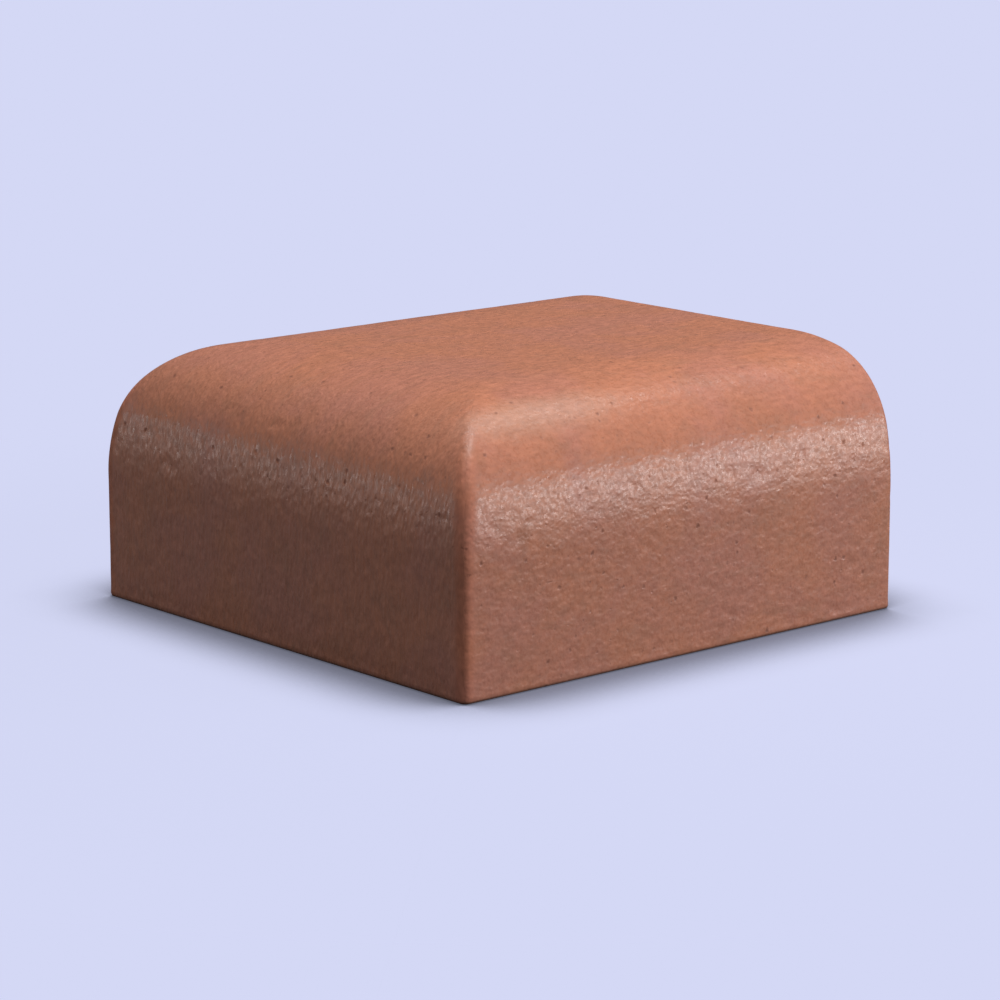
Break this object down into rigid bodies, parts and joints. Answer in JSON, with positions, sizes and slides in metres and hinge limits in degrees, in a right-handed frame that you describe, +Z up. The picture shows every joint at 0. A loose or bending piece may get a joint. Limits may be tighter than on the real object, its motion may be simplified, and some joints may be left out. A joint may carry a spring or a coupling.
{
  "type": "bullnose brick",
  "caption": "Square fired clay capping end brick with bullnosed sides and free end, mitred corners, a square joint face and a flat bed.",
  "frame": {"origin": "centre of the flat bed that the brick rests on", "axes": "+Z up from the bed to the crown, +X out of the square joint face, -X out of the bullnosed free end, +Y out of one bullnosed side"},
  "size_m": [0.215, 0.215, 0.1025],
  "materials": {
    "fired_clay": "semi-matte fired clay, orange-red with brown and pinkish patches, fine sandy grain and small pits"
  },
  "bodies": {
    "root": {"brick": "fired_clay"}
  },
  "joints": []
}
